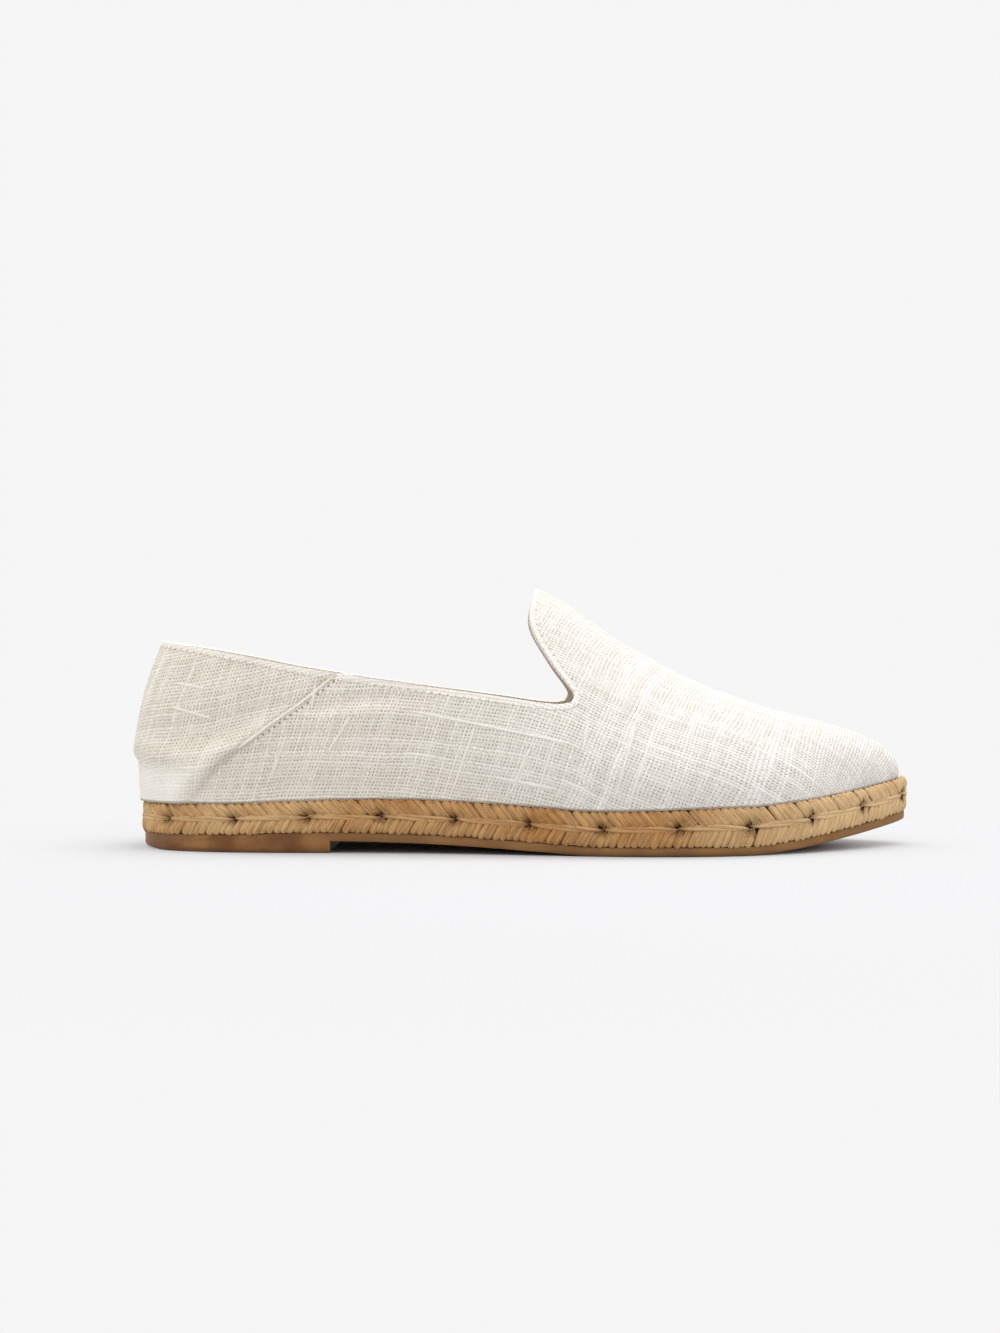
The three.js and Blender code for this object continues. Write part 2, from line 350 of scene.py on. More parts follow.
def finish_piece(mesh, name, material, node, smooth=50):
    """Turns a bmesh in the shoe's millimetres into a piece in the frame, which stands for a CAD node."""
    bmesh.ops.scale(mesh, vec=(MM,) * 3, verts=mesh.verts)
    bmesh.ops.translate(mesh, vec=HOME, verts=mesh.verts)
    piece = bpy.data.objects.new(name, bpy.data.meshes.new(name))
    mesh.to_mesh(piece.data)
    mesh.free()
    for each in material if isinstance(material, list) else [material]:
        piece.data.materials.append(each)
    piece.data.shade_smooth()
    piece.data.set_sharp_from_angle(angle=math.radians(smooth))
    scene.collection.objects.link(piece)
    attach(piece, "root")
    if node:
        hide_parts(node)
    return piece


RUBBER_DARK = (0.16, 0.062, 0.018, 1)
RUBBER_LIGHT = (0.29, 0.135, 0.045, 1)
RUBBER_FRONT = (0.27, 0.145, 0.052, 1)
RUBBER_SMEAR = (0.14, 0.065, 0.028, 1)
# Darker low on the edge, near the floor, and painted shade in the underside's rib grooves.
RUBBER_DARKER_LOW_AND_GROOVE_SHADE = (0.07, 0.038, 0.02, 1)


def noise_at(place, scale, detail, output=0):
    """A noise texture's value, or its colour as output 1."""
    return derive("ShaderNodeTexNoise", {"Vector": place, "Scale": scale, "Detail": detail}, output)


def scaled(place, *scale):
    """place with its axes scaled, which draws a texture out along the axis that is scaled least."""
    return derive("ShaderNodeMapping", {"Vector": place, "Scale": scale})


def attribute(tree, name):
    return put(tree, "ShaderNodeAttribute", attribute_name=name).outputs["Fac"]


def give_surface(material, colour, roughness, specular, bump, **more):
    """Ends a material's tree with its Principled surface. bump is (height, strength, distance)."""
    tree = material.node_tree
    height, strength, distance = bump
    normal = put(tree, "ShaderNodeBump", {
        "Strength": strength, "Distance": distance, "Height": height,
    }).outputs[0]
    shader = put(tree, "ShaderNodeBsdfPrincipled", {
        "Base Color": colour, "Roughness": roughness, "Normal": normal,
        "Specular IOR Level": specular, **more,
    })
    put(tree, "ShaderNodeOutputMaterial", {"Surface": shader.outputs[0]})
    return material


def rubber_material():
    """Tan crepe-like rubber: mottled, darker low on the edge, ribbed underneath with painted groove shade.
    """
    material, tree = blank_material("tan_rubber")
    given = put(tree, "ShaderNodeTexCoord").outputs
    place = given["Object"]
    x, _, z = split(place)
    mottle = noise_at(place, 90, 5)
    smear = noise_at(scaled(place, 20, 20, 260), 2, 3)
    breast_x = HOME.x + HEEL_BREAST * MM
    from_side = calc("PINGPONG", attribute(tree, "across"), 0.5)
    from_middle = calc("ABSOLUTE", x)
    inside = times(ramp(from_side, 0.07, 0.085), ramp(from_middle, 0.117, 0.1185, 1, 0))
    under = times(ramp(split(given["Normal"])[2], -0.9, -0.97), inside)
    ribs = {"Vector": place, "Scale": 125, "Distortion": 0.0}
    rib = derive("ShaderNodeTexWave", ribs, 1, wave_type="BANDS", bands_direction="X")
    base = coat(
        RUBBER_DARK,
        (ramp(mottle, 0.35, 0.68), RUBBER_LIGHT),
        (ramp(smear, 0.5, 0.72, 0, 0.5), RUBBER_SMEAR),
        (ramp(x, breast_x - MM, breast_x + MM, 0, 0.5), RUBBER_FRONT),
        # Darker low on the edge, near the floor.
        (ramp(z, 0.0, 2.2 * MM, 0.55, 0), RUBBER_DARKER_LOW_AND_GROOVE_SHADE),
        # Painted shade in the grooves between the underside's ribs.
        (times(ramp(rib, 0.15, 0.5, 0.55, 0), under), RUBBER_DARKER_LOW_AND_GROOVE_SHADE),
    )
    height = plus(times(rib, under), times(mottle, 0.18))
    rough = ramp(mottle, 0.3, 0.7, 0.42, 0.62)
    return give_surface(material, base, rough, 0.22, (height, 0.8, 0.6 * MM))


HEEL_ROWS, FRONT_ROWS = 70, 170
breast = angle_at(HEEL_BREAST)
outsole_rows = [(breast * i / HEEL_ROWS, True) for i in range(HEEL_ROWS + 1)]
outsole_rows += [(mix(breast, math.pi, i / FRONT_ROWS), False) for i in range(FRONT_ROWS + 1)]


def foot(lift):
    """The height of a ring over the ground side of the sole, where the heel hides the arch."""
    return lambda station, behind: (heel_back(station) if behind else underside(station)) + lift


def over(surface, lift):
    """The height of a ring over one of the sole's surfaces."""
    return lambda station, behind: surface(station) + lift


outsole = sole_layer(outsole_rows, 24, [
    (1.7, foot(0)), (1.15, foot(0.18)), (0.9, foot(0.6)),
    (0.85, over(outsole_top, -0.5)), (1.05, over(outsole_top, -0.1)), (1.5, over(outsole_top, 0)),
])
finish_piece(outsole, "outsole_rubber", rubber_material(), "outsole", smooth=40)


# The jute sole: a flat braid coiled into a slab and sewn through from edge to edge. The outer turn
# shows as a herringbone of strands whose points run to the toe, with the sewing thread along it.

# How far apart a row's strands lie, how far they lean, their half width, and how close a pair lies.
UPPER_ROW = (2.7, 5.6, 1.36, 0.14)
LOWER_ROW = (2.25, 3.2, 1.3, 0.08)
STRAND_HALF_DEPTH = 0.58
STRAND_BLUNTNESS = 6
STRAND_FLATNESS = 0.65
CENTRE = 0.5
STITCH_START = 2.5
STITCH_LENGTH = 24.25
DIMPLE_WIDTH = 2.2
GROOVE_WIDTH = 2.6
HAIR_RADIUS = 0.085
BRAID_LIFT = 0.1
OUTLINE_STEPS = 900
TANGENT_STEPS = 6


def running_lengths(points):
    """How far each point is along a line of vectors."""
    steps = ((end - start).length for start, end in zip(points, points[1:]))
    return list(accumulate(steps, initial=0.0))


# The sole's outline, from the heel round the toe and back, and how far each point is along it.
HALF_ROUND = [math.pi * i / OUTLINE_STEPS for i in range(OUTLINE_STEPS + 1)]
OUTLINE = [outline_point(LATERAL, angle, 0)[1] for angle in HALF_ROUND]
OUTLINE += [outline_point(MEDIAL, angle, 0)[1] for angle in HALF_ROUND[-2::-1]]
OUTLINE_LENGTHS = running_lengths(OUTLINE)
GIRTH = OUTLINE_LENGTHS[-1]


def outline_at(distance):
    """(point, outward direction) on the outline, that far round it from the back of the heel."""
    s = distance % GIRTH
    low = span(OUTLINE_LENGTHS, s)
    s0, s1 = OUTLINE_LENGTHS[low:low + 2]
    before = OUTLINE[max(low - TANGENT_STEPS, 0)]
    after = OUTLINE[min(low + 1 + TANGENT_STEPS, len(OUTLINE) - 1)]
    tangent = (after - before).normalized()
    part = (s - s0) / max(s1 - s0, 1e-6)
    return OUTLINE[low].lerp(OUTLINE[low + 1], part), Vector((tangent.y, -tangent.x))


def wall_point(distance, share, out):
    """A point on the sole's side: share is 0 at the braid's bottom and 1 at its top."""
    plan, outward = outline_at(distance)
    height = mix(outsole_top(plan.x), jute_top(plan.x), share) + BRAID_LIFT
    return (plan + outward * out).to_3d() + Vector((0, 0, height))


def new_group(name, inputs, outputs):
    """An empty node group and what its own inputs give. Sockets come as their names and kinds."""
    group = bpy.data.node_groups.new(name, "ShaderNodeTree")
    for way, sockets in (("INPUT", inputs), ("OUTPUT", outputs)):
        for socket, kind in sockets.items():
            group.interface.new_socket(socket, in_out=way, socket_type="NodeSocket" + kind)
    return group, group.nodes.new("NodeGroupInput").outputs


def fibre_group():
    """Jute seen close: pale and dark fibres along a strand, with grooves between its yarns. Strand is
    the strand's own (along, around), in metres."""
    group, given = new_group(
        "jute_fibres", {"Strand": "Vector", "Bleach": "Float"}, {"Color": "Color", "Height": "Float"},
    )
    fibre = noise_at(scaled(given["Strand"], 220, 3600, 1), 1, 4)
    yarn = noise_at(scaled(given["Strand"], 60, 1300, 1), 1, 2)
    tone = plus(times(fibre, 0.55), times(yarn, 0.45))
    colour = coat(JUTE_DARK, (ramp(tone, 0.36, 0.62), JUTE_LIGHT), (given["Bleach"], JUTE_PALE))
    put(group, "NodeGroupOutput", {"Color": colour, "Height": plus(times(fibre, 0.5), yarn)})
    return group


JUTE_DARK = (0.3, 0.16, 0.06, 1)
JUTE_LIGHT = (0.67, 0.41, 0.17, 1)
JUTE_PALE = (0.88, 0.7, 0.44, 1)
JUTE_BROWNING = (0.66, 0.47, 0.3, 1)
# Painted shade for the stitch holes and the slits between strands.
HOLE_SHADE = (0.13, 0.05, 0.02, 1)
# How much browner the middle of the sole is, and how much paler the toe.
MIDDLE_BROWNING = 0.48
TOE_PALING = 0.2
JUTE_FIBRES = fibre_group()


def uv_map(tree, name):
    return put(tree, "ShaderNodeUVMap", uv_map=name).outputs[0]


def jute_material(name, bleach, stain):
    """Raw jute. bleach makes it paler, stain darkens it in patches, and its stitch holes and slits carry
    painted shade. The middle of the sole is browner, and the toe is paler."""
    material, tree = blank_material(name)
    place = put(tree, "ShaderNodeTexCoord").outputs["Object"]
    fibres = put(tree, "ShaderNodeGroup", {
        "Strand": uv_map(tree, "strand"), "Bleach": bleach,
    }, node_tree=JUTE_FIBRES).outputs
    x = split(place)[0]
    # Browner in the middle of the sole and paler at the toe, by place along it.
    browner_middle = times(ramp(x, -0.1, -0.04), ramp(x, 0.03, 0.1, 1, 0))
    patches = ramp(noise_at(place, 75, 3), 0.42, 0.66, 0, stain)
    patch_and_middle_browning = plus(patches, times(browner_middle, MIDDLE_BROWNING))
    colour = coat(
        fibres["Color"], (patch_and_middle_browning, JUTE_BROWNING, "MULTIPLY"),
        (ramp(x, 0.03, 0.11, 0, TOE_PALING), JUTE_PALE),
        # Painted shade in stitch holes, slits and the core's groove.
        (attribute(tree, "hollow_shade"), HOLE_SHADE, "MULTIPLY"),
    )
    return give_surface(material, colour, 0.85, 0.2, (fibres["Height"], 0.8, 0.5 * MM))


def strand_mesh():
    """An empty bmesh with what a strand carries: its own UV map, and painted shade by how deep in a hollow
    it lies.
    """
    mesh = bmesh.new()
    mesh.loops.layers.uv.new("strand")
    mesh.verts.layers.float.new("hollow_shade")
    return mesh


def lay_strand(mesh, around, lengthwise, line, half_width, half_depth, number):
    """Bends a round bead into a strand. line(a) gives (point, outward direction, painted shade) along
    its middle for a from -1 to 1, and the strand is flat against what it lies on, with blunt ends.
    It is laid at once, so line may use what its loop has at the time."""
    bead = strand_mesh()
    uv = bead.loops.layers.uv["strand"]
    hollow_shade = bead.verts.layers.float["hollow_shade"]
    bmesh.ops.create_uvsphere(bead, u_segments=around, v_segments=lengthwise, radius=1)
    reach = (line(1)[0] - line(-1)[0]).length
    rings, unrolled = {}, {}
    for v in bead.verts:
        a = max(-1.0, min(1.0, v.co.z))
        key = round(a, 4)
        if key not in rings:
            middle, outward, depth = line(a)
            tangent = (line(min(a + 0.08, 1))[0] - line(max(a - 0.08, -1))[0]).normalized()
            outward = (outward - tangent * outward.dot(tangent)).normalized()
            rings[key] = middle, outward, tangent.cross(outward), depth
        middle, outward, sideways, depth = rings[key]
        girth = math.hypot(v.co.x, v.co.y)
        swell = max(0.0, 1 - abs(a) ** STRAND_BLUNTNESS) ** 0.5
        across, lift = (v.co.x / girth, v.co.y / girth) if girth > 1e-5 else (0, 0)
        lift = math.copysign(abs(lift) ** STRAND_FLATNESS, lift)
        unrolled[v] = (a * reach / 2, math.atan2(v.co.x, v.co.y) * half_width)
        # Painted shade, by how deep in a hollow this part of the strand lies.
        v[hollow_shade] = depth
        v.co = middle + sideways * across * swell * half_width + outward * lift * swell * half_depth
    for face in bead.faces:
        for loop in face.loops:
            length, turn = unrolled[loop.vert]
            loop[uv].uv = (length * MM + number * 0.031, turn * MM + number * 0.017)
    laid = bpy.data.meshes.new("strand")
    bead.to_mesh(laid)
    bead.free()
    mesh.from_mesh(laid)
    bpy.data.meshes.remove(laid)


def finish_strands(mesh, name, material, node="jute_sole"):
    """Finishes a piece of many strands, which are smooth all over."""
    bmesh.ops.recalc_face_normals(mesh, faces=mesh.faces)
    finish_piece(mesh, name, material, node, smooth=180)


def past_hole(distance):
    """How far round the sole a place is past the nearest stitch hole."""
    return (distance - STITCH_START + STITCH_LENGTH / 2) % STITCH_LENGTH - STITCH_LENGTH / 2


def herringbone(upper, dice):
    """One row of the outer braid's strands, from the back of the heel all the way round. They lie in
    pairs, close together at the points, and a slit opens between each pair and the next. At a stitch
    hole they are pulled in and together."""
    mesh = strand_mesh()
    pitch, lean, half_width, closeness = UPPER_ROW if upper else LOWER_ROW
    count = 2 * round(GIRTH / pitch / 2)
    for number in range(count):
        if number % 2 == 0:
            shared = dice.uniform(-0.25, 0.25), dice.uniform(0.88, 1.14), dice.uniform(-0.16, 0.16)
        hug = closeness if number % 2 == 0 else -closeness
        start = number * GIRTH / count + shared[0] + dice.uniform(-0.08, 0.08)
        slant = lean * shared[1] * dice.uniform(0.96, 1.04)
        width = half_width * dice.uniform(0.94, 1.08)
        proud = shared[2] + dice.uniform(-0.06, 0.06)
        trim = dice.uniform(0.97, 1.08)

        def line(a):
            rise = (a + 1) / 2
            share = CENTRE + (1 - CENTRE) * rise * 1.05 if upper else CENTRE - CENTRE * rise * trim
            distance = start - slant * rise + hug * (1.9 - 1.3 * rise)
            past = past_hole(distance)
            pull = math.exp(-(past / DIMPLE_WIDTH) ** 2) * max(0.0, 1 - rise * 1.7)
            distance -= past * 0.35 * pull
            out = -1.3 + 0.8 * math.sin(math.pi * (0.12 + 0.76 * rise)) ** 0.6 + proud - 2.3 * pull
            if upper:
                out -= 13 * max(0.0, rise - 0.82) ** 1.5
            notch = 0.5 * max(0.0, 1 - rise * 5)
            outward = outline_at(distance)[1]
            turned = Vector((outward.x, outward.y, (rise - 0.5) * (0.5 if upper else -0.5)))
            # The third value is painted shade: deep at stitch holes and where the two rows meet.
            return wall_point(distance, share, out), turned, min(1.0, 1.15 * pull + notch)

        lay_strand(mesh, 8, 9, line, width, STRAND_HALF_DEPTH, number)
    return mesh


def jute_middle(station):
    return (outsole_top(station) + jute_top(station)) / 2


JUTE_DICE = random.Random(7)

core = sole_layer(even_rows(120), 8, [
    (1.7, over(outsole_top, 0.05)), (1.5, over(outsole_top, 0.5)),
    (1.6, over(jute_middle, -GROOVE_WIDTH)), (3.2, over(jute_middle, 0)),
    (1.8, over(jute_middle, GROOVE_WIDTH)),
    (1.8, over(jute_top, -1.2)), (3.4, over(jute_top, -0.1)),
])
core.loops.layers.uv.new("strand")
# Painted shade on the core, darkest along its groove, which shows through the slits.
core_hollow_shade = core.verts.layers.float.new("hollow_shade")
for v in core.verts:
    v[core_hollow_shade] = max(0.2, 1 - abs(v.co.z - jute_middle(v.co.x)) / GROOVE_WIDTH)
finish_piece(core, "jute_core", jute_material("jute_core", 0.0, 1.0), "jute_sole")

jute = jute_material("jute_strands", 0.12, 0.4)
finish_strands(herringbone(True, JUTE_DICE), "jute_upper_strands", jute)
finish_strands(herringbone(False, JUTE_DICE), "jute_lower_strands", jute)


def sewing_thread():
    """The two-ply thread that sews the coil, seen as one long float between each two stitch holes."""
    mesh = strand_mesh()
    for number in range(int(GIRTH / STITCH_LENGTH)):
        start = STITCH_START + number * STITCH_LENGTH
        drift = JUTE_DICE.uniform(-0.015, 0.015)
        turn = JUTE_DICE.uniform(0.2, 0.9)
        for ply in (-1, 1):

            def line(a):
                distance = start + STITCH_LENGTH * (0.5 + 0.5 * a) + 0.4 * a
                apart = 0.048 * ply * math.cos(turn * 2 * a) * (1 - abs(a) ** 6)
                share = CENTRE + drift - 0.03 * a + 0.012 * math.sin(3 * a + number) + apart
                sunk = abs(a) ** 9
                out = -0.5 - 3 * sunk + 0.25 * ply * math.sin(turn * 2 * a)
                # The third value is painted shade where the thread dives into its holes.
                return wall_point(distance, share, out), outline_at(distance)[1].to_3d(), 0.9 * sunk

            lay_strand(mesh, 7, 22, line, 0.66, 0.5, number + 40 * ply)
    return mesh


thread = jute_material("jute_thread", 0.24, 0.3)
finish_strands(sewing_thread(), "jute_stitching", thread)


def stray_fibres(count, dice):
    """Loose hairs of jute that stand off the braid."""
    mesh = strand_mesh()
    for number in range(count):
        start = dice.uniform(0, GIRTH)
        reach = dice.uniform(1.5, 7)
        share = dice.uniform(0.04, 0.95)
        climb = dice.uniform(-0.5, 0.5)
        bow = dice.uniform(0.1, 0.9)

        def line(a):
            part = (a + 1) / 2
            distance = start + reach * part
            height = share + climb * (part + 0.4 * math.sin(3 * part))
            out = -0.9 + bow * math.sin(math.pi * part) + 0.4 * part
            point = wall_point(distance, min(max(height, 0.03), 1.0), out)
            return point, outline_at(distance)[1].to_3d(), 0.0

        lay_strand(mesh, 4, 7, line, HAIR_RADIUS, HAIR_RADIUS, number)
    return mesh


hair = jute_material("jute_hair", 0.3, 0.0)
finish_strands(stray_fibres(420, JUTE_DICE), "jute_stray_fibres", hair)


# The insole: a cotton-covered sock lining, glued to the jute inside the upper. It is cut a little
# smaller than the upper's inside.

UPPER_WALL = 1.8
INSOLE_THICKNESS = 2.5
SEAT_GAP = 0.3
INSOLE_GAP = 0.6
SOCK_LIGHT = (0.66, 0.53, 0.39, 1)
SOCK_DARK = (0.5, 0.38, 0.27, 1)
FEATHER_INSET = along([(0, -1), (30, 0.4), (90, 1.2), (165, 0.4), (220, 1.6), (SOLE_LENGTH, 2.9)])


def weave_group():
    """Plain weave. Cloth is the cloth's own (along, across) in metres. Threads differ in thickness and
    tone, some swell into slubs, and where four of them meet there is a pin hole."""
    group, given = new_group(
        "plain_weave", {"Cloth": "Vector", "Pitch": "Float", "Slubs": "Float"},
        {"Height": "Float", "Hole": "Float", "Tone": "Float", "Slub": "Float"},
    )
    counted = vector("MULTIPLY", given["Cloth"], calc("DIVIDE", 1.0, given["Pitch"]))
    wander = vector("SUBTRACT", noise_at(counted, 0.06, 2, 1), (0.5, 0.5, 0.5))
    counted = vector("ADD", counted, vector("MULTIPLY", wander, (2, 2, 2)))
    axes = split(counted)[:2]
    numbers = [calc("FLOOR", axis) for axis in axes]
    swells, tones, heights = [], [], []
    for i, (axis, other, number) in enumerate(zip(axes, axes[::-1], numbers)):
        own = derive("ShaderNodeTexWhiteNoise", {"W": plus(number, 31.7 * i)}, noise_dimensions="1D")
        stretch, lump = (
            noise_at(derive("ShaderNodeCombineXYZ", {
                0: times(number, apart), 1: times(other, finely), 2: layer * i,
            }), 1, 1)
            for apart, finely, layer in ((7.31, 0.07, 9.0), (3.77, 0.6, 4.0))
        )
        slub = times(ramp(own, 0.94, 0.97), times(ramp(stretch, 0.52, 0.6), given["Slubs"]))
        half = plus(plus(times(own, 0.07), 0.28), times(lump, 0.16))
        half = plus(half, times(slub, 0.16))
        part = calc("DIVIDE", calc("SUBTRACT", calc("FRACT", axis), 0.5), half)
        profile = calc("MAXIMUM", calc("SUBTRACT", 1.0, times(part, part)), 0.0)
        turn = plus(calc("SUBTRACT", other, 0.5), number)
        swing = times(calc("COSINE", times(turn, math.pi)), -0.4 if i else 0.4)
        heights.append(times(profile, plus(plus(0.6, swing), times(slub, 0.5))))
        tones.append(plus(times(own, 0.5), times(stretch, 0.5)))
        swells.append(slub)
    top = calc("MAXIMUM", *heights)
    patchy = noise_at(counted, 0.45, 2)
    put(group, "NodeGroupOutput", {
        "Height": top,
        "Hole": times(ramp(top, 0.05, 0.36, 1, 0), ramp(patchy, 0.36, 0.6, 0.25, 1)),
        "Tone": derive("ShaderNodeMix", {0: calc("GREATER_THAN", *heights), 2: tones[1], 3: tones[0]}),
        "Slub": calc("MAXIMUM", *swells),
    })
    return group


PLAIN_WEAVE = weave_group()


def woven(tree, pitch, slubs):
    """What the weave gives on the piece's own cloth UV, with a thread every pitch metres."""
    sockets = {"Cloth": uv_map(tree, "cloth"), "Pitch": pitch, "Slubs": slubs}
    return put(tree, "ShaderNodeGroup", sockets, node_tree=PLAIN_WEAVE).outputs


def cotton_material(name, light, dark, pitch):
    """Plain cotton or lining cloth."""
    material, tree = blank_material(name)
    weave = woven(tree, pitch, 0.2)
    colour = coat(
        dark, (ramp(weave["Tone"], 0.2, 0.8), light), (times(weave["Hole"], 0.5), dark, "MULTIPLY"),
    )
    return give_surface(material, colour, 0.85, 0.25, (weave["Height"], 0.6, 0.3 * MM))


def insole_ring(extra, lift):
    """A ring of the insole, that far inside its edge and over the jute."""
    inset = UPPER_WALL + INSOLE_GAP + extra
    return lambda station: FEATHER_INSET(station) + inset, over(jute_top, SEAT_GAP + lift)


insole = sole_layer(even_rows(130), 24, [
    insole_ring(1.6, 0), insole_ring(1.2, 1.3), insole_ring(1.7, 2.1),
    insole_ring(3.0, INSOLE_THICKNESS),
])
insole_cloth = insole.loops.layers.uv.new("cloth")
for face in insole.faces:
    for loop in face.loops:
        loop[insole_cloth].uv = loop.vert.co.xy * MM
sock = cotton_material("sock_cotton", SOCK_LIGHT, SOCK_DARK, 0.8 * MM)
finish_piece(insole, "insole_sock", sock, "insole")


# The upper: slub linen over a cotton lining, cut as a vamp with two long quarters and a soft heel
# panel let in behind a slanting seam. Its foot is gathered on to the jute, and its collar is turned in.

CROWN = along([
    (-5, 100), (60, 100), (90, 98), (110, 94), (125, 90.5), (134, 87.6), (140, 85), (146, 81.6),
    (153, 76.3), (160, 71.2), (170, 65), (180, 59.8), (190, 55.4), (200, 51.4), (210, 47.7), (220, 44.9),
    (230, 42.6), (245, 39.6), (SOLE_LENGTH, 36.6),
])
SPREAD = along([
    (0, 2), (100, 2), (140, 1.75), (180, 1.9), (220, 2.3), (245, 2.5), (SOLE_LENGTH, 2.5),
])
RISE = along([
    (0, 2), (20, 2.4), (60, 3), (100, 2.8), (140, 2.3), (180, 2.2), (220, 2.6), (245, 3), (SOLE_LENGTH, 3),
])
BELLY = along([
    (0, 0.08), (20, 0.05), (60, 0.04), (140, 0.035), (180, 0.03), (220, 0.02), (245, 0.005),
    (SOLE_LENGTH, 0),
])
THROAT_CORNER = 144.6
COLLAR = along([
    (0, 69.7), (14, 68), (34, 64.8), (55, 60.8), (76, 57.4), (95, 54.7), (119, 51.5), (134, 49.4),
    (141, 48.8), (THROAT_CORNER, 49.4),
])
VAMP_EDGE = [
    (THROAT_CORNER, 49.4), (145.7, 51.8), (144.4, 54.6), (140.4, 60), (136.2, 66.5), (132.8, 72.4),
    (131.6, 77.4), (132.4, 82.8), (134, 87.6),
]
QUARTER_COLUMNS, EDGE_COLUMNS, RIDGE_COLUMNS, WALL_ROWS = 160, 56, 60, 62
CORNER_FOOT, INSTEP_FOOT, COLUMN_LEAN = 172, 210, 2.4
WALK_STEPS = 24
COLLAR_STEPS = 1800


def upper_point(side, angle, rise):
    """A point on the outside of the upper, rise being 0 at its foot and 1 at the ridge."""
    station = station_at(angle)
    spine, edge = outline_point(side, angle, FEATHER_INSET(station))
    height = math.sin(rise * math.pi / 2)
    belly = BELLY(station) * math.sin(math.pi * math.sqrt(height)) ** 3
    width = max(0.0, 1 - height ** RISE(station)) ** (1 / SPREAD(station)) + belly
    plan = spine.lerp(edge, width)
    low = jute_top(edge.x) + SEAT_GAP
    return Vector((plan.x, plan.y, low + (CROWN(plan.x) - low) * height))


def rise_at(angle, z):
    """The rise at which a section is z above the floor."""
    station = station_at(angle)
    low = jute_top(station) + SEAT_GAP
    return 2 / math.pi * math.asin(min(1, (z - low) / (CROWN(station) - low)))


def walk(points, count):
    """count + 1 points, evenly spaced along a smooth line through the given ones."""
    last = len(points) - 1
    fine = []
    for i in range(last):
        around = [points[min(max(i + k, 0), last)] for k in (-1, 0, 1, 2)]
        for step in range(WALK_STEPS):
            t = step / WALK_STEPS
            weights = (
                (-t + 2 * t ** 2 - t ** 3) / 2, (2 - 5 * t ** 2 + 3 * t ** 3) / 2,
                (t + 4 * t ** 2 - 3 * t ** 3) / 2, (t ** 3 - t ** 2) / 2,
            )
            fine.append([sum(w * c for w, c in zip(weights, axis)) for axis in zip(*around)])
    fine.append(points[-1])
    lengths = list(accumulate(map(math.dist, fine, fine[1:]), initial=0.0))
    spaced = []
    for i in range(count + 1):
        target = lengths[-1] * i / count
        at = span(lengths, target)
        share = (target - lengths[at]) / (lengths[at + 1] - lengths[at])
        spaced.append([mix(start, end, share) for start, end in zip(fine[at], fine[at + 1])])
    return spaced


def upper_columns():
    """Columns from the back of the heel to the toe: (angle at the foot, angle at the top, top's rise)."""
    corner, instep = angle_at(THROAT_CORNER), angle_at(VAMP_EDGE[-1][0])
    below_corner, below_instep = angle_at(CORNER_FOOT), angle_at(INSTEP_FOOT)
    columns = []
    for i in range(QUARTER_COLUMNS + 1):
        part = i / QUARTER_COLUMNS
        top = corner * part
        lean = (below_corner - corner) * part ** 3
        columns.append((top + lean, top, rise_at(top, COLLAR(station_at(top)))))
    for i, (station, z) in enumerate(walk(VAMP_EDGE, EDGE_COLUMNS)[1:], 1):
        low = mix(below_corner, below_instep, i / EDGE_COLUMNS)
        rise = rise_at(angle_at(station), z) if i < EDGE_COLUMNS else 1
        columns.append((low, angle_at(station), rise))
    for i in range(1, RIDGE_COLUMNS + 1):
        part = i / RIDGE_COLUMNS
        columns.append((mix(below_instep, math.pi, part), mix(instep, math.pi, part), 1))
    return columns


# The heel panel's seam, from the collar down to the jute, as (station, height above the floor). The
# quarter laps over the panel at the top, and lower down the panel's fold hangs over the quarter.
HEEL_SEAM = [(67.2, 57.8), (57, 49.4), (46.2, 41.7), (36, 34), (29.4, 28.4), (24.5, 23.4), (19, 15)]

# Folds as (points of (station, height, how proud), how wide below, how wide above). Each line runs
# towards the heel, or down. Where the cloth dips, how proud is less than 0.
FOLD_END = 125
FOLDS = [
    ([(50, 44.5, 0.2), (40, 37.8, 1.3), (31, 32, 2), (25, 27.6, 2.2), (20, 23.8, 2.1), (16.5, 20, 1.7),
      (15, 15, 1)], 3, 4),
    ([(22, 29, 0.4), (10, 31.5, 0.9), (-3, 33, 0.2)], 3.4, 3.4),
    ([(56, 51, -0.3), (42, 44, -1.3), (31, 38.6, -1.8), (19, 36.6, -1.6), (7, 38.4, -0.8),
      (-3, 40, 0)], 3, 9),
    ([(38, 34.2, -0.2), (31, 27.6, -0.6), (27, 21.5, -0.6), (23, 15, -0.3)], 3.4, 2.4),
    ([(12, 27.4, -0.5), (4, 28, -1.1), (-3, 28.4, -1.5)], 8, 2.2),
    ([(94, 51.2, -0.2), (76, 50, -0.9), (61.5, 46.8, -0.8)], 1.8, 3.4),
    ([(98, 45.8, 0.1), (76, 46, 0.5), (60, 43.4, 0.4)], 5, 2.6),
    ([(112, 30, 0.1), (84, 30.5, 0.4), (52, 26, 0.3)], 6, 6),
]


def beside(x, z, line):
    """(distance from a line, more than 0 on its left, length walked along it, last number there)."""
    best, walked = (math.inf,), 0.0
    for start, end in zip(line, line[1:]):
        across, up = end[0] - start[0], end[1] - start[1]
        run = math.hypot(across, up)
        t = min(max(((x - start[0]) * across + (z - start[1]) * up) / run ** 2, 0), 1)
        away = math.hypot(x - start[0] - t * across, z - start[1] - t * up)
        if away < best[0]:
            turned = across * (z - start[1]) - up * (x - start[0])
            best = away, math.copysign(away, turned), walked + t * run, mix(start[-1], end[-1], t)
        walked += run
    return best[1:]


def above_jute(x, z):
    return z - jute_top(min(max(x, 0), SOLE_LENGTH))


